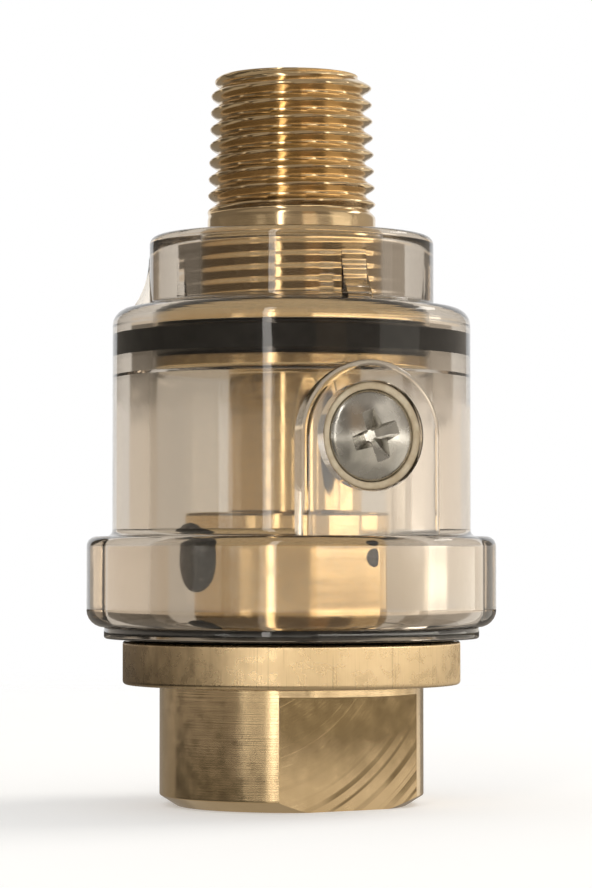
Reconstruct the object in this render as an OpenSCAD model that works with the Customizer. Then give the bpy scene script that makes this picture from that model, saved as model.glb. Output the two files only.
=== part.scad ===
// Mini in-line lubricator for an air hose: a turned brass core, a clear oil bowl
// that screws down over it, two O-rings, a wick plug and a fill screw with its seal.
// The inlet end face lies on Z = 0, air flows up, and the fill port faces -Y.

/* [Inlet end] */
// Diameter of the round inlet end
inlet_d = 21.1; // [19:0.1:24]
// Height of the inlet end below the flange
inlet_h = 9.6; // [8:0.1:14]
// Radial width of the chamfer round the end face
inlet_chamfer_w = 1.35; // [0.4:0.05:1.6]
// Height of the chamfer round the end face
inlet_chamfer_h = 0.85; // [0.4:0.05:1.6]
// Distance across the two spanner flats
flats_across = 16.8; // [16:0.1:19]
// Round land between the flats and the flange
flats_land = 0.65; // [0.3:0.05:2]
// Turn of the flats away from the fill port, in degrees
flats_turn = 7; // [-20:1:20]
// Bore for the inlet's 1/4 inch pipe thread, at its major diameter
inlet_thread_d = 13.3; // [12.6:0.1:13.6]
// Depth of the inlet bore
inlet_thread_depth = 11; // [9:0.5:12]
// Countersink at the mouth of the inlet bore
inlet_mouth_chamfer = 0.5; // [0.2:0.1:1]

/* [Core] */
// Diameter of the flange under the bowl
flange_d = 27; // [25.5:0.1:29]
// Thickness of the flange
flange_h = 3.45; // [2.5:0.05:5]
// Diameter of the boss that holds the wick plug
boss_d = 17.1; // [15.6:0.1:19]
// Height of the boss above the flange
boss_h = 10.2; // [9:0.1:12]
// Diameter of the tube between the boss and the seal disc
tube_d = 10.2; // [9:0.1:12]
// Bore of the air way
air_bore_d = 6.6; // [5.5:0.1:7]
// Thickness of the seal disc
disc_h = 5.2; // [4.6:0.1:6]
// Brass land of the seal disc above the O-ring
disc_land = 1.5; // [1:0.1:1.8]
// Edge break on the turned shoulders
edge_break = 0.3; // [0.1:0.05:0.5]

/* [Neck and outlet thread] */
// Diameter of the thread on the neck that holds the collar
collar_thread_d = 14.5; // [14.2:0.1:15]
// Drop of that thread's end below the collar's top
collar_thread_drop = 0.3; // [0.1:0.1:1]
// Diameter of the plain neck and of the outlet thread's large end
neck_d = 13.5; // [13.2:0.1:14]
// Plain neck between the collar and the thread
neck_land = 2.6; // [1:0.1:4]
// Length of the outlet thread
thread_l = 10.3; // [8:0.1:14]
// Taper of the outlet thread: length for one unit of diameter
thread_taper = 16; // [12:1:20]
// Lead-in chamfer at the tip of the outlet thread
thread_lead = 0.55; // [0.2:0.05:1]

/* [Bowl] */
// Outside diameter of the bowl's wall
bowl_d = 28.7; // [28:0.1:31]
// Height of the bowl from its lip to the foot of the collar
bowl_h = 26.65; // [25:0.05:30]
// Bore of the oil space
bowl_bore_d = 22.8; // [22.5:0.1:23.6]
// Bore that the upper O-ring seals in
seal_bore_d = 22.3; // [21.9:0.1:22.5]
// Corner radius of the shoulder
shoulder_r = 1.4; // [0.8:0.1:2]
// Rise of the shoulder from its corner to the collar
shoulder_rise = 0.5; // [0.2:0.1:0.8]
// Gap between the bowl's lip and the flange
lip_gap = 0.2; // [0.1:0.05:0.4]
// Outside diameter of the lip
lip_d = 30; // [29.5:0.1:31]
// Height of the lip below the grip
lip_h = 0.9; // [0.6:0.1:1.5]
// Wall of the lip at its mouth, which flares to lead the lower O-ring in
lip_wall = 1.2; // [0.8:0.1:1.8]
// Height of the flare in the lip's mouth
lip_flare_h = 0.4; // [0.2:0.05:0.6]

/* [Grip] */
// Diameter over the grip's lobes
grip_d = 32.8; // [32:0.1:35]
// Height of the grip
grip_h = 7.25; // [6:0.05:9]
// Number of lobes
lobe_count = 8; // [6:1:10]
// Radius of a lobe
lobe_r = 12.3; // [7:0.1:14]
// Edge radius on top of the lobes
lobe_top_r = 0.8; // [0.3:0.1:1.2]
// Edge radius under the lobes
lobe_bottom_r = 1.4; // [0.5:0.1:2]
// Fillet between the grip's top and the wall
grip_fillet = 0.5; // [0.2:0.1:1]

/* [Collar] */
// Outside diameter of the collar
collar_d = 22.8; // [22:0.1:24]
// Height of the collar
collar_h = 5.5; // [4:0.1:8]
// Edge radius on top of the collar
collar_edge_r = 0.65; // [0.2:0.05:1]
// Number of ribs round the collar's foot
rib_count = 3; // [2:1:6]
// Width of a rib
rib_w = 2.1; // [1.2:0.1:3]
// Height of a rib
rib_h = 3.8; // [2:0.1:5]
// Reach of a rib's foot beyond the collar
rib_reach = 1.2; // [0.6:0.1:1.6]

/* [Fill port] */
// Distance of the pad's flat face from the axis
pad_face = 14.8; // [14.6:0.1:15.5]
// Width of the pad, which is also the diameter of its arch
pad_w = 11.7; // [10.5:0.1:13]
// Height of the port's axis above the lip
port_h = 15.75; // [14:0.05:16.5]
// Edge radius round the pad
pad_edge_r = 0.5; // [0.2:0.05:0.8]
// Diameter of the counterbore for the screw's head and seal
counterbore_d = 8.4; // [7.6:0.1:9]
// Depth of the counterbore
counterbore_depth = 1.8; // [1.4:0.05:2]

/* [Fill screw] */
// Thread diameter of the fill screw
screw_d = 4; // [3:0.5:4.5]
// Diameter of the screw's head
head_d = 7; // [6:0.1:7.4]
// Height of the straight rim of the head
head_rim_h = 0.9; // [0.5:0.05:1.2]
// Rise of the dome above the rim
head_dome_h = 1; // [0.5:0.05:1.4]
// Span of the cross recess
recess_span = 4.2; // [3:0.1:4.6]
// Width of each slot of the cross recess
recess_w = 0.95; // [0.6:0.05:1.2]
// Depth of the cross recess below the top of the dome
recess_depth = 1.3; // [0.8:0.05:1.6]
// Turn of the cross recess, in degrees
recess_turn = 20; // [0:1:45]
// Thickness of the seal under the head
fill_seal_t = 0.6; // [0.4:0.05:0.9]
// Height of the seal's rim round the head
fill_seal_rim_h = 1; // [0.3:0.05:1.1]

/* [Seals and wick] */
// Section of the upper O-ring
upper_ring_w = 2.4; // [2:0.1:2.6]
// Section of the lower O-ring
lower_ring_w = 1.8; // [1.5:0.1:2]
// Diameter of the wick plug
wick_d = 5.4; // [4:0.1:6]
// Height of the wick plug's axis above the flange
wick_h = 6.65; // [5.5:0.05:7]
// Length of the plug that stands out of the boss
wick_proud = 0.85; // [0.3:0.05:1.2]
// Edge radius on the plug's face
wick_edge_r = 0.6; // [0.3:0.1:1]
// Diameter of the air port that pressurises the bowl
air_port_d = 1.5; // [1:0.1:2]
// Turn of the air port from the fill port, in degrees
air_port_turn = 16; // [0:1:40]

/* [Clearances] */
// Radial room round the seals
seal_room = 0.05; // [0.03:0.01:0.1]
// Side room of the upper O-ring in its groove
groove_room = 0.1; // [0.05:0.05:0.2]
// Room between the seal disc and the bowl's roof
roof_room = 0.3; // [0.2:0.05:0.5]
// Radial room of the threads
thread_room = 0.1; // [0.05:0.05:0.2]
// Radial room of the wick plug in its hole
wick_room = 0.05; // [0.02:0.01:0.1]
// Set-back of the screw's tip from the oil space
tip_back = 0.1; // [0.05:0.05:0.3]

/* [Hidden] */
$fn = 96;
// Overlap that keeps cuts and joined shapes clean
eps = 0.01;

// Heights along the axis
seat_z = inlet_h + flange_h;
boss_top = seat_z + boss_h;
lip_z = seat_z + lip_gap;
grip_z = lip_z + lip_h;
grip_top = grip_z + grip_h;
collar_z = lip_z + bowl_h;
collar_top = collar_z + collar_h;
shoulder_z = collar_z - shoulder_rise;
disc_top = collar_z - roof_room;
disc_z = disc_top - disc_h;
groove_top = disc_top - disc_land;
groove_h = upper_ring_w + 2 * groove_room;
thread_z = collar_top + neck_land;
thread_top = thread_z + thread_l;
port_z = lip_z + port_h;
wick_z = seat_z + wick_h;

// Radii and depths that mating pieces share
upper_ring_r = seal_bore_d / 2 - seal_room;
groove_r = upper_ring_r - upper_ring_w - seal_room;
disc_r = seal_bore_d / 2 - roof_room;
lower_ring_r = flange_d / 2 - seal_room;
lip_bore_r = lower_ring_r + seal_room;
lower_groove_z = seat_z + lower_ring_w + seal_room;
thread_tip_r = neck_d / 2 - thread_l / thread_taper / 2;
lobe_offset = grip_d / 2 - lobe_r;
counterbore_floor = pad_face - counterbore_depth;
head_under = counterbore_floor + fill_seal_t;
screw_tip = bowl_bore_d / 2 + tip_back;
head_h = head_rim_h + head_dome_h;
fill_seal_d = counterbore_d - 2 * seal_room;

// Colours
brass = [0.72, 0.58, 0.36];
clear_plastic = [0.80, 0.76, 0.68, 0.45];
black_rubber = [0.10, 0.10, 0.09];
plated_steel = [0.74, 0.74, 0.72];
fibre = [0.82, 0.73, 0.58];
felt = [0.26, 0.25, 0.22];

// Rectangle from the axis, with a round on its upper and lower outer corner
module turned_section(r, h, top_r, bottom_r) {
  difference() {
    square([r, h]);
    translate([r - top_r, h - top_r]) corner_waste(top_r);
    translate([r - bottom_r, bottom_r]) mirror([0, 1]) corner_waste(bottom_r);
  }
}

// What a round of radius r takes off the outer corner of a square
module corner_waste(r) {
  difference() {
    square(r + eps);
    circle(r);
  }
}

// Places a shape that points along +Z so that it points out of the fill port
module at_port(distance) {
  translate([0, -distance, port_z]) rotate([90, 0, 0]) children();
}

// Section of the brass core, from the inlet face up to the outlet's tip
module core_section() {
  inlet_r = inlet_d / 2;
  flange_r = flange_d / 2;
  boss_r = boss_d / 2;
  tube_r = tube_d / 2;
  collar_thread_r = collar_thread_d / 2;
  neck_r = neck_d / 2;
  polygon([
    [0, 0],
    [inlet_r - inlet_chamfer_w, 0],
    [inlet_r, inlet_chamfer_h],
    [inlet_r, inlet_h],
    [flange_r - edge_break, inlet_h],
    [flange_r, inlet_h + edge_break],
    [flange_r, seat_z - edge_break],
    [flange_r - edge_break, seat_z],
    [boss_r, seat_z],
    [boss_r, boss_top - edge_break],
    [boss_r - edge_break, boss_top],
    [tube_r, boss_top],
    [tube_r, disc_z],
    [disc_r - edge_break, disc_z],
    [disc_r, disc_z + edge_break],
    [disc_r, disc_top - edge_break],
    [disc_r - edge_break, disc_top],
    [collar_thread_r, disc_top],
    [collar_thread_r, collar_top - collar_thread_drop - edge_break],
    [collar_thread_r - edge_break, collar_top - collar_thread_drop],
    [neck_r, collar_top - collar_thread_drop],
    [neck_r, thread_z],
    [thread_tip_r, thread_top - thread_lead],
    [thread_tip_r - thread_lead, thread_top],
    [0, thread_top],
  ]);
}

// Inlet bore with its countersink, the drill's cone and the air way to the outlet
module air_way() {
  thread_r = inlet_thread_d / 2;
  bore_r = air_bore_d / 2;
  rotate_extrude() polygon([
    [0, -eps],
    [thread_r + inlet_mouth_chamfer + eps, -eps],
    [thread_r, inlet_mouth_chamfer],
    [thread_r, inlet_thread_depth],
    [bore_r, inlet_thread_depth + (thread_r - bore_r) / sqrt(3)],
    [bore_r, thread_top + eps],
    [0, thread_top + eps],
  ]);
}

// The two parallel flats for a spanner, as the stock that is milled away
module flats_waste() {
  reach = inlet_d;
  for (side = [0, 180])
    rotate([0, 0, flats_turn + side])
      translate([-reach / 2, -flats_across / 2 - reach, -eps])
        cube([reach, reach, inlet_h - flats_land + eps]);
}

module upper_groove() {
  translate([0, 0, groove_top - groove_h])
    rotate_extrude() translate([groove_r, 0]) square([disc_r, groove_h]);
}

module wick_hole() {
  translate([0, 0, wick_z])
    rotate([0, -90, 0]) cylinder(d = wick_d + 2 * wick_room, h = boss_d);
}

module air_port() {
  translate([0, 0, wick_z])
    rotate([90, 0, air_port_turn]) cylinder(d = air_port_d, h = boss_d);
}

module brass_core() {
  color(brass) difference() {
    rotate_extrude() core_section();
    air_way();
    flats_waste();
    upper_groove();
    wick_hole();
    air_port();
  }
}

// Wall, shoulder and collar of the bowl as one turned section
module bowl_section() {
  wall_r = bowl_d / 2;
  corner_z = shoulder_z - shoulder_r;
  translate([0, lip_z]) square([lip_d / 2, lip_h + eps]);
  translate([0, grip_z]) square([wall_r, corner_z - grip_z]);
  difference() {
    translate([0, grip_top - eps]) square([wall_r + grip_fillet, grip_fillet + eps]);
    translate([wall_r + grip_fillet, grip_top + grip_fillet]) circle(grip_fillet);
  }
  translate([0, corner_z - eps]) square([wall_r - shoulder_r, shoulder_r + eps]);
  intersection() {
    translate([wall_r - shoulder_r, corner_z]) circle(shoulder_r);
    translate([0, corner_z - eps]) square([wall_r, 2 * shoulder_r]);
  }
  polygon([
    [0, shoulder_z - eps],
    [wall_r - shoulder_r, shoulder_z - eps],
    [wall_r - shoulder_r, shoulder_z],
    [collar_d / 2, collar_z],
    [0, collar_z],
  ]);
  translate([0, shoulder_z]) turned_section(collar_d / 2, collar_top - shoulder_z, collar_edge_r, eps);
}

module grip_lobes() {
  for (i = [0 : lobe_count - 1])
    rotate([0, 0, (i + 0.5) * 360 / lobe_count - 90])
      translate([lobe_offset, 0, grip_z])
        rotate_extrude() turned_section(lobe_r, grip_h, lobe_top_r, lobe_bottom_r);
}

// Ribs whose outer edge sweeps out in a hollow curve to the shoulder
module collar_ribs() {
  root_r = collar_d / 2 - eps;
  curve_r = (rib_h * rib_h + rib_reach * rib_reach) / (2 * rib_reach);
  for (i = [0 : rib_count - 1])
    rotate([0, 0, i * 360 / rib_count - 90])
      intersection() {
        rotate_extrude() difference() {
          translate([root_r - rib_reach, shoulder_z]) square([2 * rib_reach, rib_h + shoulder_rise]);
          translate([root_r + curve_r, collar_z + rib_h]) circle(curve_r);
        }
        translate([0, -rib_w / 2, shoulder_z]) cube([collar_d, rib_w, collar_h]);
      }
}

// Raised pad round the fill port: an arch over two straight sides that run down into the grip
module fill_pad() {
  root = bowl_bore_d / 2;
  at_port(0) rotate_extrude() turned_section(pad_w / 2, pad_face, pad_edge_r, eps);
  translate([0, 0, grip_z + lobe_bottom_r])
    linear_extrude(port_z - grip_z - lobe_bottom_r)
      for (side = [0, 1])
        mirror([side, 0])
          translate([0, -root])
            mirror([0, 1]) turned_section(pad_w / 2, pad_face - root, pad_edge_r, eps);
}

// Oil space, seal bore, collar bore and the recess for the lower O-ring with its flared mouth
module bowl_bores() {
  bore_r = bowl_bore_d / 2;
  seal_r = seal_bore_d / 2;
  collar_bore_r = collar_thread_d / 2 + thread_room;
  step = bore_r - seal_r;
  rotate_extrude() polygon([
    [0, lip_z - eps],
    [lip_bore_r, lip_z - eps],
    [lip_bore_r, lower_groove_z],
    [bore_r, lower_groove_z],
    [bore_r, disc_z - step],
    [seal_r, disc_z],
    [seal_r, collar_z],
    [collar_bore_r, collar_z],
    [collar_bore_r, collar_top + eps],
    [0, collar_top + eps],
  ]);
  translate([0, 0, lip_z - eps])
    cylinder(r1 = lip_d / 2 - lip_wall, r2 = lip_bore_r, h = lip_flare_h + eps);
}

module fill_port() {
  at_port(counterbore_floor) cylinder(d = counterbore_d, h = pad_face);
  at_port(0) cylinder(d = screw_d + 2 * thread_room, h = pad_face);
}

module bowl() {
  color(clear_plastic) difference() {
    union() {
      rotate_extrude() bowl_section();
      grip_lobes();
      collar_ribs();
      fill_pad();
    }
    bowl_bores();
    fill_port();
  }
}

// Round-section ring that reaches out to outer_r, with its middle at height z
module o_ring(outer_r, width, z) {
  translate([0, 0, z])
    rotate_extrude() translate([outer_r - width / 2, 0]) circle(d = width);
}

module upper_o_ring() {
  color(black_rubber) o_ring(upper_ring_r, upper_ring_w, groove_top - groove_h / 2);
}

module lower_o_ring() {
  color(black_rubber) o_ring(lower_ring_r, lower_ring_w, seat_z + lower_ring_w / 2);
}

// Cross recess with walls that draw in towards its floor
module cross_recess() {
  intersection() {
    for (turn = [0, 90])
      rotate([0, 0, recess_turn + turn])
        translate([-recess_span / 2, -recess_w / 2, head_h - recess_depth])
          cube([recess_span, recess_w, recess_depth + eps]);
    translate([0, 0, head_h - recess_depth])
      cylinder(d1 = recess_w, d2 = recess_span, h = recess_depth);
  }
}

module fill_screw() {
  dome_r = (head_d * head_d / 4 + head_dome_h * head_dome_h) / (2 * head_dome_h);
  color(plated_steel) {
    at_port(head_under) difference() {
      union() {
        rotate_extrude() intersection() {
          square([head_d / 2, head_h]);
          translate([0, head_h - dome_r]) circle(dome_r);
        }
        translate([0, 0, screw_tip - head_under]) cylinder(d = screw_d, h = head_under - screw_tip + eps);
      }
      cross_recess();
    }
  }
}

// Cup under the screw's head, with a rim round it
module fill_seal() {
  color(fibre) at_port(counterbore_floor) difference() {
    cylinder(d = fill_seal_d, h = fill_seal_t + fill_seal_rim_h);
    translate([0, 0, fill_seal_t]) cylinder(d = head_d + 2 * seal_room, h = fill_seal_rim_h + eps);
    translate([0, 0, -eps]) cylinder(d = screw_d + 2 * seal_room, h = fill_seal_t + 2 * eps);
  }
}

module wick_plug() {
  inner = air_bore_d / 2;
  color(felt) translate([-inner, 0, wick_z])
    rotate([0, -90, 0])
      rotate_extrude()
        turned_section(wick_d / 2, boss_d / 2 + wick_proud - inner, wick_edge_r, eps);
}

brass_core();
bowl();
upper_o_ring();
lower_o_ring();
fill_screw();
fill_seal();
wick_plug();
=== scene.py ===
"""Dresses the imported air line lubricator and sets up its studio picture.

Sizes are in millimetres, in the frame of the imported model: Z runs up the axis from the inlet's end
face, and the fill port faces -Y. MM turns a size into Blender's metres.
"""
from collections import namedtuple
from math import acos, asin, cos, pi, radians, sin, sqrt, tan, tau

import bpy
from mathutils import Matrix, Vector


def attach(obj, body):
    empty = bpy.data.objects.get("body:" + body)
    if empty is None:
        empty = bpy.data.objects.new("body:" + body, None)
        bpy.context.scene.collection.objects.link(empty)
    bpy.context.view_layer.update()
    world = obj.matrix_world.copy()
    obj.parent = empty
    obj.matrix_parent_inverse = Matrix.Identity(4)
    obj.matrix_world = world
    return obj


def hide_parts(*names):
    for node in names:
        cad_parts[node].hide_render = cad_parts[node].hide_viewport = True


MM = 0.001

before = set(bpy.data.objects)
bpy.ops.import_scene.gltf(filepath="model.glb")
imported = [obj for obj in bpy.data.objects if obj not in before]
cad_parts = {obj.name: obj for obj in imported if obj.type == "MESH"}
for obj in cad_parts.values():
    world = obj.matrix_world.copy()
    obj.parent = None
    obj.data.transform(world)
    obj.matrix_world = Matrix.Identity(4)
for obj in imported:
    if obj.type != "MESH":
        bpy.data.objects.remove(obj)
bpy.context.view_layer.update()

# Radii that edges are rounded by
CRISP, BROKEN, SMOOTH, EASED, SOFT = 0.1, 0.15, 0.2, 0.25, 0.3

# Brass core
INLET_R = 10.55
INLET_TOP = 9.6
INLET_CHAMFER = (1.35, 0.85)
INLET_BORE_R = 6.65
INLET_BORE_TOP = 11.0
INLET_MOUTH = 0.5
FLATS_ACROSS = 16.8
FLATS_TOP = 8.95
FLATS_TURN = radians(7)
FLANGE_R = 13.5
SEAT_Z = 13.05
BOSS_R = 8.55
BOSS_TOP = 23.25
TUBE_R = 5.1
AIR_BORE_R = 3.3
DISC_R = 10.85
DISC_Z = 34.4
DISC_TOP = 39.6
GROOVE_R = 8.65
GROOVE_Z = 35.5
GROOVE_TOP = 38.1
COLLAR_THREAD_R = 7.25
COLLAR_THREAD_TOP = 45.1
NECK_R = 6.75
THREAD_Z = 48.0
THREAD_TIP_R = 6.428
THREAD_LEAD = 0.55
CORE_TOP = 58.299

# Clear bowl
LIP_Z = 13.25
LIP_R = 15.0
LIP_MOUTH_R = 13.8
LIP_FLARE_TOP = 13.65
RECESS_R = 13.5
RECESS_TOP = 14.9
GRIP_Z = 14.15
GRIP_TOP = 21.4
LOBE_COUNT = 8
LOBE_R = 12.296
LOBE_OFFSET = 4.1
LOBE_TOP_EDGE = 0.8
LOBE_BOTTOM_EDGE = 1.4
VALLEY_SOFTNESS = 0.014
GRIP_FILLET = 0.5
WALL_R = 14.35
OIL_BORE_R = 11.4
SEAL_BORE_R = 11.15
SEAL_BORE_LEAD = 0.25
SHOULDER_Z = 39.4
SHOULDER_EDGE = 1.4
COLLAR_Z = 39.9
COLLAR_TOP = 45.4
COLLAR_R = 11.4
COLLAR_EDGE = 0.65
COLLAR_BORE_R = 7.35
RIB_COUNT = 3
RIB_W = 2.1
RIB_H = 3.8
RIB_REACH = 1.2

# Fill port, screw and seal, along -Y from the axis
PORT_AXIS = (0, -1, 0)
PORT_Z = 29.0
PAD_ROOT = 12.5
PAD_FACE = 14.8
PAD_W = 11.7
PAD_EDGE = 0.5
COUNTERBORE_R = 4.2
COUNTERBORE_FLOOR = 13.0
COUNTERBORE_EDGE = 0.05
SCREW_HOLE_R = 2.1
SCREW_R = 2.0
SCREW_TIP = 11.5
SCREW_CHAMFER = 0.4
HEAD_UNDER = 13.6
HEAD_R = 3.5
HEAD_RIM = 0.9
HEAD_EDGE = 0.12
HEAD_DOME = 1.0
SEAL_R = 4.15
SEAL_RIM = 1.0
SEAL_EDGE = 0.12
SEAL_PLAY = 0.06

# Cross recess, from its floor up: depth below the dome's top, span, and width of the slots
RECESS_STEPS = ((1.3, 0.9, 0.55), (0.75, 2.6, 0.75), (0.45, 3.6, 0.95), (-0.1, 5.2, 1.55))
RECESS_TURN = radians(20)

# Wick plug and air port
WICK_AXIS = (-1, 0, 0)
WICK_Z = 19.7
WICK_R = 2.7
WICK_PLAY = 0.05
WICK_PROUD = 0.85
WICK_BULGE = 0.7
AIR_PORT_R = 0.75
AIR_PORT_TURN = radians(16)

# O-rings: width of the section, height of its middle, and height of the flat that bears on the bowl
UPPER_RING = (2.45, 36.8, 1.7)
LOWER_RING = (1.8, SEAT_Z + 0.9, 0.9)

# How far the squeezed rubber bears into the clear wall, which hides the air gap
SQUEEZE = 0.03

# Threads: pitch, depth, the heights they run between, how softly each end runs out, and the radii
# that they cut
Thread = namedtuple("Thread", "pitch depth low high run_low run_high inner outer")
OUTLET_THREAD = Thread(1.337, 0.74, 46.7, 58.6, 1.3, 0.2, 5.5, 7.0)
INLET_THREAD = Thread(1.337, 0.74, 0.3, 10.6, 0.5, 0.8, 6.2, 7.2)
NECK_THREAD = Thread(1.0, 0.04, 39.7, 45.2, 0.3, 0.3, 7.0, 7.3)
BOWL_THREAD = Thread(1.0, 0.008, 40.0, 45.3, 0.5, 0.5, 7.3, 7.4)
SCREW_THREAD = Thread(0.7, 0.34, -3.0, 0.1, 0.1, 0.1, 1.5, 2.1)
THREAD_MARGIN = 0.2
ROWS_PER_PITCH = 12

# How close to a rounded edge the flat shading of a straight side begins
HOLD = 0.06

# Edges that turn by more than this stay sharp
SHARP_ANGLE = radians(32)

# Brass: its tones, the oiled tones inside the bowl, which are partly painted light, and the colours it
# darkens to, as dirt with painted shade, scoring, and painted shade
BRASS_TONES = ((0.60, 0.45, 0.26), (0.74, 0.565, 0.345))
OILED_AND_LIT_TONES = ((0.78, 0.62, 0.38), (0.90, 0.74, 0.48))
DIRT_AND_SHADE = (0.24, 0.175, 0.105)
SCORE = (0.24, 0.17, 0.09)
FLAT_SHADE = (0.25, 0.18, 0.095)

# Level direction of the side of the flange that is darkened with painted shade
SHADED_SIDE = (-0.906, 0.423, 0)

# Centre of the milling cutter's strokes, above the front flat and to its left, and how far from it
# the strokes begin to show dark and are darkest
CUTTER_CENTRE = (-8.2, -9.5, 16.8)
STROKE_REACH = (14, 18)

# Heights between which the painted shade over the flats' upper part sets in, and how far its edge strays
FLAT_SHADE_HEIGHTS = (4.5, 8.5)
FLAT_SHADE_STRAY = 5


# Sections and meshes

def quarter(steps):
    """Angles from 0 to a right angle in equal steps."""
    return [pi / 2 * k / steps for k in range(steps + 1)]


def rounded(corners, steps=4):
    """A closed section from (radius, height, edge radius) corners, with arcs at the rounded ones."""
    path = []
    for i, (r, z, round_r) in enumerate(corners):
        here = Vector((r, z))
        if not round_r:
            path.append(here)
            continue
        back = (Vector(corners[i - 1][:2]) - here).normalized()
        ahead = (Vector(corners[(i + 1) % len(corners)][:2]) - here).normalized()
        half = acos(max(-1, min(1, back.dot(ahead)))) / 2
        centre = here + (back + ahead).normalized() * (round_r / sin(half))
        start = here + back * (round_r / tan(half)) - centre
        end = here + ahead * (round_r / tan(half)) - centre
        sweep = start.angle_signed(end)
        for k in range(steps + 1):
            path.append(centre + Matrix.Rotation(-sweep * k / steps, 2) @ start)
    return path


def held(path):
    """An open section with points near both ends of its long sides, which keep the shading flat."""
    firm = path[:1]
    for here, ahead in zip(path, path[1:]):
        side = ahead - here
        if side.length > 4 * HOLD:
            firm += [here + side.normalized() * HOLD, ahead - side.normalized() * HOLD]
        firm.append(ahead)
    return firm


def closed_section(corners):
    """A closed section with rounded corners and straight sides."""
    path = rounded(corners)
    return held(path + path[:1])[:-1]


def cuts(thread, r, z):
    """Whether a thread works on the point of a section at radius r and height z."""
    low, high = thread.low - THREAD_MARGIN, thread.high + THREAD_MARGIN
    return thread.inner < r < thread.outer and low < z < high


def refined(path, threads):
    """The section with points added where threads run, several to each pitch."""
    fine = []
    for here, ahead in zip(path, path[1:] + path[:1]):
        middle = (here + ahead) / 2
        thread = next((t for t in threads if cuts(t, *middle)), None)
        steps = 1
        if thread:
            steps = max(1, round(abs(ahead.y - here.y) / thread.pitch * ROWS_PER_PITCH))
        fine += [here.lerp(ahead, k / steps) for k in range(steps)]
    return fine


def smooth_step(x):
    """Rises softly from 0 to 1 as x does, and stays level outside."""
    x = max(0, min(1, x))
    return x * x * (3 - 2 * x)


def thread_cut(threads, r, z, turn):
    """How deep the right-hand threads cut at a point of the section and a part of a full turn."""
    for t in threads:
        if cuts(t, r, z):
            wave = 0.5 - 0.5 * cos(tau * (z / t.pitch - turn))
            run_in = smooth_step((z - t.low) / t.run_low)
            run_out = smooth_step((t.high - z) / t.run_high)
            return t.depth * wave * run_in * run_out
    return 0


def mesh_object(name, points, faces, material):
    """A smooth-shaded object from points in millimetres, sharp only at real edges."""
    mesh = bpy.data.meshes.new(name)
    mesh.from_pydata([Vector(p) * MM for p in points], [], faces)
    mesh.materials.append(material)
    piece = bpy.data.objects.new(name, mesh)
    bpy.context.scene.collection.objects.link(piece)
    shade(piece)
    return piece


def shade(piece):
    piece.data.shade_smooth()
    piece.data.set_sharp_from_angle(angle=SHARP_ANGLE)


def ring_faces(rows, columns):
    """Quads of a grid that closes on itself both ways."""
    return [
        (i * columns + j, i * columns + (j + 1) % columns,
         (i + 1) % rows * columns + (j + 1) % columns, (i + 1) % rows * columns + j)
        for i in range(rows) for j in range(columns)
    ]


def turned(name, rows, columns, material, place=lambda row, turn: row):
    """Turns a closed section about Z. place gives a row's radius and height at a part of a turn."""
    points = []
    for row in rows:
        for j in range(columns):
            r, z = place(row, j / columns)
            points.append((r * cos(tau * j / columns), r * sin(tau * j / columns), z))
    return mesh_object(name, points, ring_faces(len(rows), columns), material)


def threaded(name, corners, threads, columns, material):
    """A turned piece with the threads cut into its section."""
    rows = refined(closed_section(corners), threads)
    return turned(name, rows, columns, material,
                  lambda row, turn: (row.x - thread_cut(threads, row.x, row.y, turn), row.y))


def prism(name, rows, material):
    """Stacks outlines of equally many 3-D points and closes both ends."""
    columns = len(rows[0])
    last = (len(rows) - 1) * columns
    faces = ring_faces(len(rows), columns)[:last]
    ends = [tuple(reversed(range(columns))), tuple(range(last, last + columns))]
    return mesh_object(name, [p for row in rows for p in row], faces + ends, material)


def circle(r, columns, z=0):
    return [(r * cos(tau * j / columns), r * sin(tau * j / columns), z) for j in range(columns)]


def along(axis, distance, height, points):
    """Points made round +Z, laid so that +Z runs out along a level axis, at a distance and height."""
    lay = Vector((0, 0, 1)).rotation_difference(Vector(axis)).to_matrix()
    return [lay @ Vector(p) + Vector(axis) * distance + Vector((0, 0, height)) for p in points]


def rod(name, axis, height, rings, columns, material):
    """A round rod along a level axis, from rings of a radius and a distance out."""
    rows = [along(axis, distance, height, circle(r, columns)) for r, distance in rings]
    return prism(name, rows, material)


def combine(piece, tool, operation):
    """Joins another object to a piece, or cuts it out, and deletes that object."""
    step = piece.modifiers.new(operation, "BOOLEAN")
    step.operation = operation
    step.solver = "EXACT"
    step.material_mode = "TRANSFER"
    step.object = tool
    made = piece.evaluated_get(bpy.context.evaluated_depsgraph_get())
    solid = bpy.data.meshes.new_from_object(made)
    piece.modifiers.clear()
    piece.data = solid
    bpy.data.objects.remove(tool)
    shade(piece)


def lay_in_port(piece, distance):
    """Turns a piece made round +Z to face out of the fill port, its zero at a distance from the axis."""
    out = Matrix.Translation((0, -distance * MM, PORT_Z * MM))
    piece.data.transform(out @ Matrix.Rotation(pi / 2, 4, "X"))


def fit(piece, node, body):
    """Puts a finished piece in its CAD node's place."""
    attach(piece, body)
    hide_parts(node)


# Materials

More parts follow.
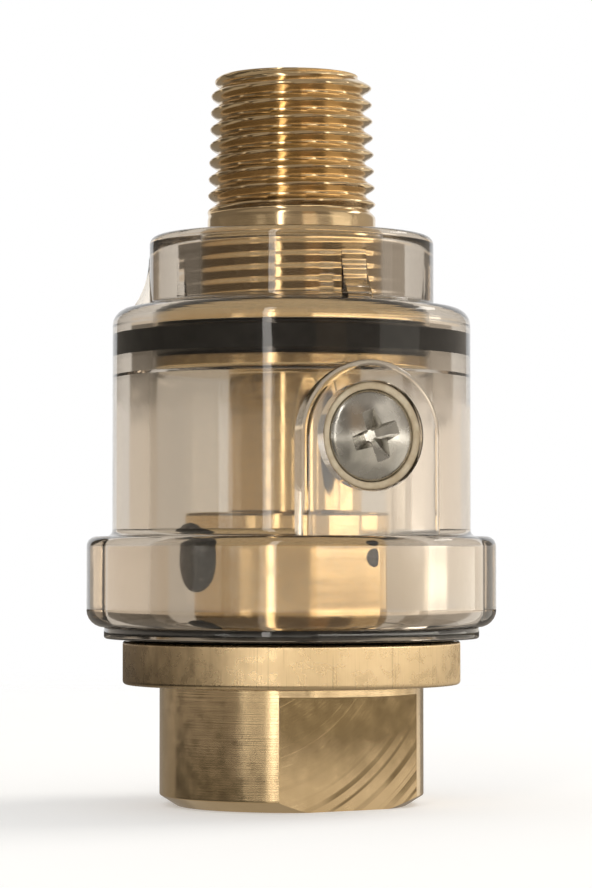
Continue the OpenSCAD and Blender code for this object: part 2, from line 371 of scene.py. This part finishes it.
class Shader:
    """A Principled material with short ways to add texture nodes."""

    def __init__(self, name, **sockets):
        self.material = bpy.data.materials.new(name)
        self.material.use_nodes = True
        self.tree = self.material.node_tree
        self.surface = self.tree.nodes["Principled BSDF"]
        for socket, value in sockets.items():
            self.surface.inputs[socket.replace("_", " ")].default_value = value

    def node(self, kind, **settings):
        made = self.tree.nodes.new("ShaderNode" + kind)
        for key, value in settings.items():
            setattr(made, key, value)
        return made

    def link(self, out, socket):
        self.tree.links.new(out, socket)

    def fill(self, made, values):
        """Feeds a node's inputs in turn, each from another node's output or with a fixed value."""
        for socket, value in zip(made.inputs, values):
            if isinstance(value, bpy.types.NodeSocket):
                self.link(value, socket)
            else:
                socket.default_value = value

    def math(self, operation, *values):
        made = self.node("Math", operation=operation)
        self.fill(made, values)
        return made.outputs["Value"]

    def vector(self, operation, result, *values):
        made = self.node("VectorMath", operation=operation)
        self.fill(made, values)
        return made.outputs[result]

    def here(self):
        """Object coordinates in metres."""
        return self.node("TexCoord").outputs["Object"]

    def place(self, scale):
        """Object coordinates in metres, stretched by a scale for each axis."""
        mapping = self.node("Mapping")
        mapping.inputs["Scale"].default_value = scale
        self.link(self.here(), mapping.inputs["Vector"])
        return mapping.outputs["Vector"]

    def noise(self, scale, stretch=(1, 1, 1), detail=3, roughness=0.5):
        texture = self.node("TexNoise")
        for socket, value in (("Scale", scale), ("Detail", detail), ("Roughness", roughness)):
            texture.inputs[socket].default_value = value
        self.link(self.place(stretch), texture.inputs["Vector"])
        return texture.outputs["Fac"]

    def stripes(self, value, scale, detail=2):
        """Noise along a single value."""
        texture = self.node("TexNoise", noise_dimensions="1D")
        texture.inputs["Scale"].default_value = scale
        texture.inputs["Detail"].default_value = detail
        self.link(value, texture.inputs["W"])
        return texture.outputs["Fac"]

    def ramp(self, value, stops):
        """Colours along a value, as (position, colour) stops."""
        ramp = self.node("ValToRGB")
        elements = ramp.color_ramp.elements
        while len(elements) < len(stops):
            elements.new(0.5)
        for element, (position, colour) in zip(elements, stops):
            element.position = position
            element.color = (*colour, 1)
        self.link(value, ramp.inputs["Fac"])
        return ramp.outputs["Color"]

    def spread(self, value, low, high, start=0.3, end=0.7):
        """A value's stretch from start to end, mapped to the range low to high."""
        spread = self.node("MapRange")
        limits = (("From Min", start), ("From Max", end), ("To Min", low), ("To Max", high))
        for socket, number in limits:
            spread.inputs[socket].default_value = number
        self.link(value, spread.inputs["Value"])
        return spread.outputs["Result"]

    def colour(self, out):
        self.link(out, self.surface.inputs["Base Color"])

    def roughness(self, out):
        self.link(out, self.surface.inputs["Roughness"])

    def stain(self, amount, colour):
        """Mixes a colour over the colours so far, by an amount from 0 to 1."""
        mix = self.node("Mix", data_type="RGBA")
        self.link(amount, mix.inputs["Factor"])
        self.link(self.surface.inputs["Base Color"].links[0].from_socket, mix.inputs["A"])
        mix.inputs["B"].default_value = (*colour, 1)
        self.colour(mix.outputs["Result"])

    def bump(self, height, depth):
        """Adds a bump of a depth in millimetres on top of the bumps so far."""
        bump = self.node("Bump")
        bump.inputs["Distance"].default_value = depth * MM
        self.link(height, bump.inputs["Height"])
        normal = self.surface.inputs["Normal"]
        if normal.is_linked:
            self.link(normal.links[0].from_socket, bump.inputs["Normal"])
        self.link(bump.outputs["Normal"], normal)

    def grain_round_axis(self):
        """Lays the grain that stretches highlights along rings round Z."""
        tangent = self.node("Tangent", direction_type="RADIAL", axis="Z")
        self.link(tangent.outputs["Tangent"], self.surface.inputs["Tangent"])


def brass(name, roughness, anisotropic=0.5, tones=BRASS_TONES):
    """Bright brass with a slightly uneven tone."""
    made = Shader(name, Metallic=1.0, Anisotropic=anisotropic)
    tone = made.noise(160, detail=4)
    made.colour(made.ramp(tone, [(0.3, tones[0]), (0.7, tones[1])]))
    made.roughness(made.spread(made.noise(900), roughness - 0.05, roughness + 0.06))
    return made


def turned_brass():
    """Fine rings from the lathe, which stretch highlights along the axis."""
    made = brass("turned_brass", 0.17)
    made.surface.inputs["Anisotropic Rotation"].default_value = 0.25
    made.grain_round_axis()
    made.bump(made.noise(1, stretch=(120, 120, 9000), detail=2), 0.003)
    made.bump(made.noise(1500, stretch=(1, 1, 0.25)), 0.004)
    return made.material


def scored_brass():
    """The flange's rim: close upright marks that spread light sideways, dark dirt in the marks, and
    painted shade on one side.
    """
    made = brass("scored_brass", 0.28, anisotropic=0.95)
    made.grain_round_axis()
    marks = made.noise(1, stretch=(6000, 6000, 90), roughness=0.6)
    # mottled patches of painted shade on the shaded side, and dark dirt in the marks, both in one dark
    # colour
    side = made.vector("DOT_PRODUCT", "Value", made.place((1 / FLANGE_R / MM,) * 3), SHADED_SIDE)
    mottled = made.math("MULTIPLY_ADD", made.noise(700, stretch=(1, 1, 0.5), detail=4), 0.8, side)
    patches = made.spread(mottled, 0.0, 0.9, 0.65, 1.25)
    dirt = made.spread(marks, 0.0, 0.55, 0.58, 0.72)
    made.stain(made.math("MAXIMUM", patches, dirt), DIRT_AND_SHADE)
    made.bump(marks, 0.012)
    return made.material


def oiled_and_lit_brass():
    """Brass that the oil inside the bowl has kept smooth and clean, in brighter tones that are partly
    painted light.
    """
    made = brass("oiled_and_lit_brass", 0.13, anisotropic=0.0, tones=OILED_AND_LIT_TONES)
    made.bump(made.noise(1, stretch=(150, 150, 1500), detail=2), 0.004)
    made.bump(made.noise(350, detail=1), 0.012)
    return made.material


def milled_brass():
    """Curved strokes of a milling cutter across the spanner flats, some scored dark, and painted shade
    over their upper part.
    """
    made = brass("milled_brass", 0.14)
    shift = made.vector("SUBTRACT", "Vector", made.here(), [v * MM for v in CUTTER_CENTRE])
    reach = made.vector("LENGTH", "Value", shift)
    strokes = made.stripes(reach, 1400, detail=4)
    # the cutter bit hardest towards the end of its stroke, in patches
    deep = made.spread(strokes, 0.0, 1.0, 0.50, 0.62)
    late = made.spread(reach, 0.0, 1.0, *[r * MM for r in STROKE_REACH])
    patches = made.spread(made.noise(200, detail=1), 0.25, 1.0, 0.4, 0.6)
    made.stain(made.math("MULTIPLY", made.math("MULTIPLY", deep, late), patches), SCORE)
    # the upper part is darkened with painted shade, with a ragged edge
    height = made.node("SeparateXYZ")
    made.link(made.place((1 / MM, 1 / MM, 1 / MM)), height.inputs["Vector"])
    ragged = made.math("MULTIPLY_ADD", made.noise(300, detail=4), FLAT_SHADE_STRAY, height.outputs["Z"])
    made.stain(made.spread(ragged, 0.0, 0.95, *FLAT_SHADE_HEIGHTS), FLAT_SHADE)
    made.bump(strokes, 0.006)
    made.bump(made.stripes(reach, 5000), 0.003)
    return made.material


def clear_plastic():
    """Moulded clear plastic with a warm grey cast and faint waves."""
    made = Shader("clear_plastic", Transmission_Weight=1.0, IOR=1.49, Roughness=0.06,
                  Base_Color=(0.67, 0.625, 0.56, 1))
    depth = made.node("VolumeAbsorption")
    depth.inputs["Color"].default_value = (0.66, 0.54, 0.40, 1)
    depth.inputs["Density"].default_value = 45
    made.link(depth.outputs["Volume"], made.tree.nodes["Material Output"].inputs["Volume"])
    made.bump(made.noise(120, detail=2), 0.035)
    return made.material


def black_rubber():
    made = Shader("black_rubber", Specular_IOR_Level=0.35)
    tones = [(0.35, (0.010, 0.010, 0.009)), (0.7, (0.022, 0.021, 0.019))]
    made.colour(made.ramp(made.noise(700), tones))
    made.roughness(made.spread(made.noise(1500), 0.4, 0.6))
    made.bump(made.noise(3000), 0.006)
    return made.material


def plated_steel():
    made = Shader("plated_steel", Metallic=1.0)
    tones = [(0.3, (0.42, 0.41, 0.38)), (0.7, (0.60, 0.58, 0.54))]
    made.colour(made.ramp(made.noise(500), tones))
    made.roughness(made.spread(made.noise(900), 0.18, 0.32))
    made.bump(made.noise(450), 0.03)
    return made.material


def fibre():
    made = Shader("fibre", Specular_IOR_Level=0.3)
    tones = [(0.3, (0.58, 0.45, 0.28)), (0.7, (0.78, 0.66, 0.47))]
    made.colour(made.ramp(made.noise(1200, detail=5), tones))
    made.roughness(made.spread(made.noise(2000), 0.55, 0.75))
    made.bump(made.noise(2500, detail=5), 0.02)
    return made.material


def felt():
    made = Shader("felt", Sheen_Weight=0.2, Specular_IOR_Level=0.2)
    tones = [(0.38, (0.006, 0.006, 0.006)), (0.52, (0.03, 0.029, 0.026)), (0.66, (0.15, 0.145, 0.13))]
    made.colour(made.ramp(made.noise(800, detail=6, roughness=0.7), tones))
    made.roughness(made.spread(made.noise(2000), 0.7, 0.95))
    made.bump(made.noise(1800, detail=6, roughness=0.7), 0.15)
    return made.material


# Pieces

def brass_core(material, scored, oiled_and_lit, milled):
    """The turned core with its threads, flats, wick hole and air port, and a finish for each zone."""
    chamfer_w, chamfer_h = INLET_CHAMFER
    cone_z = INLET_BORE_TOP + (INLET_BORE_R - AIR_BORE_R) / sqrt(3)
    core = threaded("core", [
        (INLET_BORE_R + INLET_MOUTH, 0, 0),
        (INLET_R - chamfer_w, 0, BROKEN),
        (INLET_R, chamfer_h, BROKEN),
        (INLET_R, INLET_TOP, CRISP),
        (FLANGE_R, INLET_TOP, SOFT),
        (FLANGE_R, SEAT_Z, SMOOTH),
        (BOSS_R, SEAT_Z, CRISP),
        (BOSS_R, BOSS_TOP, EASED),
        (TUBE_R, BOSS_TOP, BROKEN),
        (TUBE_R, DISC_Z, BROKEN),
        (DISC_R, DISC_Z, EASED),
        (DISC_R, GROOVE_Z, CRISP),
        (GROOVE_R, GROOVE_Z, CRISP),
        (GROOVE_R, GROOVE_TOP, CRISP),
        (DISC_R, GROOVE_TOP, CRISP),
        (DISC_R, DISC_TOP, EASED),
        (COLLAR_THREAD_R, DISC_TOP, CRISP),
        (COLLAR_THREAD_R, COLLAR_THREAD_TOP, EASED),
        (NECK_R, COLLAR_THREAD_TOP, CRISP),
        (NECK_R, THREAD_Z, 0),
        (THREAD_TIP_R, CORE_TOP - THREAD_LEAD, CRISP),
        (THREAD_TIP_R - THREAD_LEAD, CORE_TOP, CRISP),
        (AIR_BORE_R, CORE_TOP, SMOOTH),
        (AIR_BORE_R, cone_z, 0),
        (INLET_BORE_R, INLET_BORE_TOP, 0),
        (INLET_BORE_R, INLET_MOUTH, 0),
    ], [OUTLET_THREAD, INLET_THREAD, NECK_THREAD], 192, material)
    core.data.materials.append(scored)
    core.data.materials.append(oiled_and_lit)
    margin = 0.2
    for face in core.data.polygons:
        r, z = face.center.xy.length / MM, face.center.z / MM
        if INLET_TOP < z < SEAT_Z and r > FLANGE_R - margin:
            face.material_index = 1
        # inside the bowl the brass takes brighter tones, partly painted light
        elif SEAT_Z <= z < COLLAR_THREAD_TOP and r > AIR_BORE_R + margin:
            face.material_index = 2
    for side in (0, pi):
        combine(core, flat_waste(FLATS_TURN + side, milled), "DIFFERENCE")
    combine(core, drill(WICK_AXIS, WICK_R + WICK_PLAY, material), "DIFFERENCE")
    air_port_axis = (sin(AIR_PORT_TURN), -cos(AIR_PORT_TURN), 0)
    combine(core, drill(air_port_axis, AIR_PORT_R, material), "DIFFERENCE")
    return core


def flat_waste(turn, material):
    """The stock that is milled off one side of the inlet end."""
    width = 2 * INLET_R
    near = -FLATS_ACROSS / 2
    spin = Matrix.Rotation(turn, 3, "Z")
    outline = [(-width, near), (-width, near - width), (width, near - width), (width, near)]
    rows = [[spin @ Vector((x, y, z)) for x, y in outline] for z in (-1, FLATS_TOP)]
    return prism("flat_waste", rows, material)


def drill(axis, r, material):
    """A drill that goes out from the axis through the boss, at the wick's height."""
    return rod("drill", axis, WICK_Z, [(r, 0), (r, 2 * BOSS_R)], 48, material)


def lobe_edge(turn, inset):
    """Outer radius of the lobed grip at a part of a full turn, its lobes drawn in by an inset."""
    half = pi / LOBE_COUNT
    # a lobe's middle lies half a lobe away from the fill port, and the valleys are softly rounded
    valley = abs((tau * turn + pi / 2 + half) % (2 * half) - half)
    valley = sqrt(valley * valley + VALLEY_SOFTNESS ** 2)
    lean = abs(half - valley)
    r = LOBE_R - inset
    return LOBE_OFFSET * cos(lean) + sqrt(r * r - (LOBE_OFFSET * sin(lean)) ** 2)


def grip_rows():
    """Rows of the grip from the lip to its top, each a height and an inset of the lobes."""
    under = [(GRIP_Z + LOBE_BOTTOM_EDGE * (1 - cos(a)), LOBE_BOTTOM_EDGE * (1 - sin(a)))
             for a in quarter(6)]
    side = [(GRIP_Z + LOBE_BOTTOM_EDGE + HOLD, 0), (GRIP_TOP - LOBE_TOP_EDGE - HOLD, 0)]
    top = [(GRIP_TOP - LOBE_TOP_EDGE * (1 - sin(a)), LOBE_TOP_EDGE * (1 - cos(a)))
           for a in quarter(6)]
    return under + side + top


def clear_bowl(material):
    """The clear moulding: lip, lobed grip, wall, shoulder and collar, with the pad, ribs and port."""
    # the last corner only gives the one before it a direction
    below = rounded([
        (LIP_MOUTH_R, LIP_Z, 0),
        (LIP_R, LIP_Z, SMOOTH),
        (LIP_R, GRIP_Z, CRISP),
        (RECESS_R, GRIP_Z, 0),
    ])[:-1]
    above = refined(held(rounded([
        (WALL_R, GRIP_TOP + GRIP_FILLET, 0),
        (WALL_R, SHOULDER_Z, SHOULDER_EDGE),
        (COLLAR_R, COLLAR_Z, SOFT),
        (COLLAR_R, COLLAR_TOP, COLLAR_EDGE),
        (COLLAR_BORE_R, COLLAR_TOP, SMOOTH),
        (COLLAR_BORE_R, COLLAR_Z, CRISP),
        (SEAL_BORE_R, COLLAR_Z, SOFT),
        (SEAL_BORE_R, DISC_Z, 0),
        (OIL_BORE_R, DISC_Z - SEAL_BORE_LEAD, 0),
        (OIL_BORE_R, RECESS_TOP, BROKEN),
        (RECESS_R, RECESS_TOP, SOFT),
        (RECESS_R, LIP_FLARE_TOP, 0),
    ], steps=8)), [BOWL_THREAD])
    rows = [("turned", p) for p in below] + [("lobe", p) for p in grip_rows()]
    rows += [("fillet", a) for a in quarter(5)[:-1]] + [("turned", p) for p in above]

    def place(row, turn):
        kind, at = row
        if kind == "turned":
            return at.x - thread_cut([BOWL_THREAD], at.x, at.y, turn), at.y
        if kind == "lobe":
            height, inset = at
            return max(WALL_R, lobe_edge(turn, inset)), height
        # the fillet fades out in the valleys, where the lobes' edge runs into the wall
        reach = min(GRIP_FILLET, max(WALL_R, lobe_edge(turn, LOBE_TOP_EDGE)) - WALL_R)
        return WALL_R + reach * (1 - sin(at)), GRIP_TOP + reach * (1 - cos(at))

    bowl = turned("bowl", rows, 384, material, place)
    combine(bowl, fill_pad(material), "UNION")
    for i in range(RIB_COUNT):
        combine(bowl, collar_rib(tau * i / RIB_COUNT - pi / 2, material), "UNION")
    counterbore = [
        (COUNTERBORE_R, COUNTERBORE_FLOOR),
        (COUNTERBORE_R, PAD_FACE - COUNTERBORE_EDGE),
        (COUNTERBORE_R + 2 * COUNTERBORE_EDGE, PAD_FACE + COUNTERBORE_EDGE),
    ]
    hole = [(SCREW_HOLE_R, OIL_BORE_R - 1), (SCREW_HOLE_R, PAD_FACE)]
    combine(bowl, rod("counterbore", PORT_AXIS, PORT_Z, counterbore, 96, material), "DIFFERENCE")
    combine(bowl, rod("screw_hole", PORT_AXIS, PORT_Z, hole, 64, material), "DIFFERENCE")
    return bowl


def fill_pad(material):
    """The arched pad round the port, with a rounded front edge. Its sides run down into the grip."""
    steps = 48
    foot = GRIP_Z + LOBE_BOTTOM_EDGE

    def outline(inset, depth):
        r = PAD_W / 2 - inset
        turns = [pi * k / steps for k in range(steps + 1)]
        arch = [(r * cos(a), PORT_Z + r * sin(a)) for a in turns]
        return [(x, -depth, z) for x, z in arch + [(-r, foot), (r, foot)]]

    rows = [outline(0, PAD_ROOT)]
    for a in quarter(6):
        rows.append(outline(PAD_EDGE * (1 - cos(a)), PAD_FACE - PAD_EDGE * (1 - sin(a))))
    rows.append(outline(PAD_EDGE + HOLD, PAD_FACE))
    return prism("fill_pad", rows, material)


def collar_rib(turn, material):
    """A rib whose outer edge sweeps out in a hollow curve from the collar to the shoulder."""
    steps = 12
    curve_r = (RIB_H ** 2 + RIB_REACH ** 2) / (2 * RIB_REACH)
    # the rib is sunk a little into the collar and the shoulder
    inner = SEAL_BORE_R + 0.1
    foot = SHOULDER_Z - 0.2
    edge = []
    for k in range(steps + 1):
        z = COLLAR_Z + RIB_H * (1 - k / steps)
        drop = COLLAR_Z + RIB_H - z
        edge.append((COLLAR_R + curve_r - sqrt(curve_r ** 2 - drop ** 2), z))
    outline = [(inner, COLLAR_Z + RIB_H)] + edge + [(edge[-1][0], foot), (inner, foot)]
    spin = Matrix.Rotation(turn, 3, "Z")
    rows = [[spin @ Vector((r, side * RIB_W / 2, z)) for r, z in outline] for side in (1, -1)]
    return prism("collar_rib", rows, material)


def o_ring(name, outer_r, ring, material):
    """A rubber ring, squeezed flat over some height where it bears outwards on the bowl."""
    width, z, flat = ring
    steps = 40
    section = []
    for k in range(steps):
        a = tau * k / steps
        x, y = cos(a) * width / 2, sin(a) * width / 2
        if cos(a) > 0:
            # the outer half is squashed from a half circle to a flat band with round corners
            bulge = max(0, abs(y) - flat / 2) / (width / 2 - flat / 2)
            x = width / 2 * sqrt(max(0, 1 - bulge * bulge))
        section.append(Vector((outer_r - width / 2 + x, z + y)))
    return turned(name, section, 160, material)


def fill_screw(material):
    """Domed head with a cross recess, on a threaded shank. The head's underside is at 0."""
    columns, shank_steps, dome_steps = 96, 30, 16
    dome_r = (HEAD_R ** 2 + HEAD_DOME ** 2) / (2 * HEAD_DOME)
    dome_top = HEAD_RIM + HEAD_DOME
    rise = asin(HEAD_R / dome_r)
    tip = SCREW_TIP - HEAD_UNDER
    shank = tip + SCREW_CHAMFER
    section = [(SCREW_R - SCREW_CHAMFER, tip), (SCREW_R, shank)]
    section += [(SCREW_R, shank - shank * k / shank_steps) for k in range(1, shank_steps + 1)]
    section += [(HEAD_R - HEAD_EDGE, 0), (HEAD_R, HEAD_EDGE), (HEAD_R, HEAD_RIM - CRISP)]
    for k in range(dome_steps - 1, 0, -1):
        a = rise * k / dome_steps
        section.append((dome_r * sin(a), dome_top - dome_r * (1 - cos(a))))
    rows = []
    for r, z in section:
        row = []
        for j in range(columns):
            cut = thread_cut([SCREW_THREAD], r, z, j / columns) if r == SCREW_R else 0
            row.append(((r - cut) * cos(tau * j / columns), (r - cut) * sin(tau * j / columns), z))
        rows.append(row)
    screw = prism("screw", rows, material)
    combine(screw, cross_recess(material), "DIFFERENCE")
    edges = screw.modifiers.new("edges", "BEVEL")
    edges.width = 0.07 * MM
    edges.segments = 2
    edges.limit_method = "ANGLE"
    edges.angle_limit = radians(50)
    lay_in_port(screw, HEAD_UNDER)
    return screw


def cross_recess(material):
    """Four tapered slots that draw in to a point below the head's middle."""
    rows = []
    for depth, span, slot in RECESS_STEPS:
        z = HEAD_RIM + HEAD_DOME - depth
        s, w = span / 2, slot / 2
        row = []
        for q in range(4):
            spin = Matrix.Rotation(q * pi / 2 + RECESS_TURN, 3, "Z")
            row += [spin @ Vector((x, y, z)) for x, y in ((s, -w), (s, w), (w, w))]
        rows.append(row)
    return prism("cross_recess", rows, material)


def fill_seal(material):
    """A cup-shaped ring with softened edges, under the screw's head and round its rim."""
    inner, rim = SCREW_R + SEAL_PLAY, HEAD_R + SEAL_PLAY
    thick = HEAD_UNDER - COUNTERBORE_FLOOR
    section = closed_section([
        (inner, 0, SEAL_EDGE),
        (SEAL_R, 0, SEAL_EDGE),
        (SEAL_R, thick + SEAL_RIM, SMOOTH),
        (rim, thick + SEAL_RIM, SMOOTH),
        (rim, thick, 0),
        (inner, thick, SEAL_EDGE),
    ])
    seal = turned("seal", section, 96, material)
    lay_in_port(seal, COUNTERBORE_FLOOR)
    return seal


def wick_plug(material):
    """A plug of felt with a soft, bulging face."""
    columns, chamfer, tip_r, fullness = 64, 0.3, 0.15, 0.45
    length = BOSS_R + WICK_PROUD - AIR_BORE_R
    rows = [circle(WICK_R - chamfer, columns, 0), circle(WICK_R, columns, chamfer),
            circle(WICK_R, columns, length - WICK_BULGE)]
    for a in quarter(12)[1:]:
        r = max(tip_r, WICK_R * cos(a) ** fullness)
        rows.append(circle(r, columns, length - WICK_BULGE * (1 - sin(a))))
    return prism("wick", [along(WICK_AXIS, AIR_BORE_R, WICK_Z, row) for row in rows], material)


# Stage

CAMERA_TURN = radians(-25)
CAMERA_DISTANCE = 265
CAMERA_HEIGHT = 20
CAMERA_LENS = 134
AIM_HEIGHT = 28.8
AIM_RIGHT = 0.36

LAMP_DISTANCE = 420
LAMP_AIM = 30
LAMP_COLOUR = (1, 0.96, 0.9)

FLOOR_RINGS = (60, 120, 240, 420)
FLOOR_FADE = (60, 300)

CARD_DISTANCE = 520

# Heights that the cards stand between, by the part of the brass that mirrors them
BANDS = {"high": (55, 450), "tube": (22, 55), "boss": (4, 22), "rim": (-11, 4), "low": (-300, -11)}

# Cards: band, side, the turns in degrees from the camera that they start and end at, and colour
CARDS = (
    ("high", "left", -150, -62, (0.20, 0.178, 0.15)),
    ("high", "front_left", -62, -30, (0.23, 0.205, 0.175)),
    ("high", "front", -30, 15, (0.25, 0.22, 0.19)),
    ("high", "warm", 15, 34, (0.46, 0.35, 0.25)),
    ("high", "front_right", 34, 57, (0.25, 0.22, 0.19)),
    ("high", "pale", 57, 88, (0.95, 0.88, 0.78)),
    ("high", "right", 88, 150, (0.5, 0.45, 0.39)),
    ("tube", "left", -150, -46, (0.9, 0.81, 0.70)),
    ("tube", "streak", -46, -37, (3.0, 2.9, 2.7)),
    ("tube", "front", -37, 16, (1.0, 0.93, 0.82)),
    ("tube", "right", 16, 100, (5.0, 4.75, 4.3)),
    ("tube", "far_right", 100, 165, (1.2, 1.1, 0.98)),
    ("boss", "left", -150, -46, (1.0, 0.9, 0.78)),
    ("boss", "front", -46, 16, (1.5, 1.4, 1.23)),
    ("boss", "right", 16, 70, (2.2, 2.05, 1.8)),
    ("boss", "side", 70, 133, (2.7, 2.55, 2.25)),
    ("boss", "far_right", 133, 165, (1.1, 1.02, 0.9)),
    ("rim", "left", -210, -42, (0.12, 0.108, 0.092)),
    ("rim", "front", -42, 12, (2.1, 1.96, 1.72)),
    ("rim", "right", 12, 150, (0.28, 0.235, 0.165)),
    ("low", "back", 150, 240, (0.3, 0.27, 0.23)),
    ("low", "left", -120, -46, (0.10, 0.09, 0.077)),
    ("low", "front_left", -46, -21, (0.12, 0.11, 0.093)),
    ("low", "strip", -21, -13, (0.8, 0.71, 0.58)),
    ("low", "front", -13, 16, (0.3, 0.273, 0.235)),
    ("low", "front_right", 16, 48, (0.80, 0.73, 0.62)),
    ("low", "right", 48, 84, (0.78, 0.71, 0.605)),
    ("low", "far_right", 84, 150, (0.95, 0.88, 0.77)),
)


def heading(turn):
    """Level unit vector out from the axis, turned from the fill port's direction."""
    return Vector((sin(turn), -cos(turn), 0))


def add_camera():
    """The photograph's view: a little left of the fill port, from about the height of the grip."""
    camera = bpy.data.objects.new("camera", bpy.data.cameras.new("camera"))
    camera.data.lens = CAMERA_LENS
    camera.data.clip_start = 0.01
    right = Vector((cos(CAMERA_TURN), sin(CAMERA_TURN), 0))
    eye = heading(CAMERA_TURN) * CAMERA_DISTANCE + Vector((0, 0, CAMERA_HEIGHT))
    aim = right * AIM_RIGHT + Vector((0, 0, AIM_HEIGHT))
    camera.location = eye * MM
    camera.rotation_euler = (aim - eye).to_track_quat("-Z", "Y").to_euler()
    bpy.context.scene.collection.objects.link(camera)
    bpy.context.scene.camera = camera


def softbox(name, turn, height, size, watts):
    """A soft lamp aimed at the object's middle. turn is from the camera, in degrees."""
    lamp = bpy.data.lights.new(name, "AREA")
    lamp.shape = "RECTANGLE"
    lamp.size, lamp.size_y = size[0] * MM, size[1] * MM
    lamp.energy = watts
    lamp.color = LAMP_COLOUR
    box = bpy.data.objects.new(name, lamp)
    out = heading(CAMERA_TURN + radians(turn)) * LAMP_DISTANCE
    box.location = (out + Vector((0, 0, height))) * MM
    aim = Vector((0, 0, LAMP_AIM)) * MM - box.location
    box.rotation_euler = aim.to_track_quat("-Z", "Y").to_euler()
    bpy.context.scene.collection.objects.link(box)


def emission(name, colour):
    """A material that glows evenly in a colour."""
    material = bpy.data.materials.new(name)
    material.use_nodes = True
    tree = material.node_tree
    tree.nodes.clear()
    glow = tree.nodes.new("ShaderNodeEmission")
    glow.inputs["Color"].default_value = (*colour, 1)
    out = tree.nodes.new("ShaderNodeOutputMaterial")
    tree.links.new(glow.outputs["Emission"], out.inputs["Surface"])
    return material


def studio_card(name, start, end, heights, colour):
    """A curved card round the object, from one turn to another in degrees from the camera."""
    low, high = heights
    steps = 16
    points = []
    for k in range(steps + 1):
        turn = CAMERA_TURN + radians(start + (end - start) * k / steps)
        side = heading(turn) * CARD_DISTANCE
        points += [side + Vector((0, 0, low)), side + Vector((0, 0, high))]
    faces = [(2 * k, 2 * k + 2, 2 * k + 3, 2 * k + 1) for k in range(steps)]
    reflected_only(mesh_object(name, points, faces, emission(name, colour)), low >= 0)


def level_card(name, height, colour):
    """A round card above or below the object."""
    columns = 48
    points = circle(CARD_DISTANCE, columns, height)
    disc = mesh_object(name, points, [tuple(range(columns))], emission(name, colour))
    reflected_only(disc, height >= 0)


def reflected_only(card, through):
    """Shows a card in metal, and through the plastic or not, but neither directly nor as a light."""
    card.visible_transmission = through
    card.visible_camera = False
    card.visible_shadow = False
    card.visible_diffuse = False


def add_floor():
    """A pale round floor that fades out into the white surroundings."""
    columns = 96
    points = [(0, 0, 0)] + [p for r in FLOOR_RINGS for p in circle(r, columns)]
    faces = [(0, 1 + j, 1 + (j + 1) % columns) for j in range(columns)]
    for i in range(len(FLOOR_RINGS) - 1):
        a, b = 1 + i * columns, 1 + (i + 1) * columns
        faces += [(a + j, b + j, b + (j + 1) % columns, a + (j + 1) % columns)
                  for j in range(columns)]
    made = Shader("floor", Base_Color=(0.86, 0.85, 0.83, 1), Roughness=0.8,
                  Specular_IOR_Level=0.1, Emission_Color=(1, 1, 1, 1))
    # a faint glow keeps it pale where it is seen, directly or through the plastic
    path = made.node("LightPath").outputs
    seen = made.math("MAXIMUM", path["Is Camera Ray"], path["Is Transmission Ray"])
    made.link(made.spread(seen, 0.0, 0.3, 0, 1), made.surface.inputs["Emission Strength"])
    out = made.vector("LENGTH", "Value", made.place((1, 1, 1)))
    fade = made.spread(out, 1.0, 0.0, *[r * MM for r in FLOOR_FADE])
    made.link(fade, made.surface.inputs["Alpha"])
    floor = mesh_object("floor", points, faces, made.material)
    floor.visible_glossy = False


def add_world():
    """White seen directly, in metal or through the plastic, and a softer fill for matt surfaces."""
    world = bpy.data.worlds.new("studio")
    bpy.context.scene.world = world
    world.use_nodes = True
    tree = world.node_tree
    path = tree.nodes.new("ShaderNodeLightPath")
    seen = path.outputs["Is Camera Ray"]
    for kind in ("Is Glossy Ray", "Is Transmission Ray"):
        both = tree.nodes.new("ShaderNodeMath")
        both.operation = "MAXIMUM"
        tree.links.new(seen, both.inputs[0])
        tree.links.new(path.outputs[kind], both.inputs[1])
        seen = both.outputs[0]
    strength = tree.nodes.new("ShaderNodeMapRange")
    strength.inputs["To Min"].default_value = 0.6
    strength.inputs["To Max"].default_value = 1.0
    tree.links.new(seen, strength.inputs["Value"])
    background = tree.nodes["Background"]
    background.inputs["Color"].default_value = (1, 1, 1, 1)
    tree.links.new(strength.outputs["Result"], background.inputs["Strength"])


def add_studio():
    """Soft lamps and cards, placed by the streaks on the photograph's brass."""
    softbox("key", -15, 215, (46, 480), 0.36)
    softbox("top", 120, 480, (300, 300), 1.2)
    level_card("ceiling", BANDS["high"][1], (0.38, 0.345, 0.30))
    level_card("ground", BANDS["low"][0], (0.45, 0.41, 0.35))
    for band, side, start, end, colour in CARDS:
        studio_card(band + "_" + side, start, end, BANDS[band], colour)


turned_metal = turned_brass()
rubber = black_rubber()
core = brass_core(turned_metal, scored_brass(), oiled_and_lit_brass(), milled_brass())
fit(core, "brass_core", "core")
fit(clear_bowl(clear_plastic()), "bowl", "bowl")
upper_ring = o_ring("upper_ring", SEAL_BORE_R + SQUEEZE, UPPER_RING, rubber)
fit(upper_ring, "upper_o_ring", "upper_seal")
lower_ring = o_ring("lower_ring", RECESS_R + SQUEEZE, LOWER_RING, rubber)
fit(lower_ring, "lower_o_ring", "core")
fit(fill_screw(plated_steel()), "fill_screw", "fill_screw")
fit(fill_seal(fibre()), "fill_seal", "fill_seal")
fit(wick_plug(felt()), "wick_plug", "core")

add_camera()
add_floor()
add_world()
add_studio()
bpy.context.scene.view_settings.view_transform = "Standard"
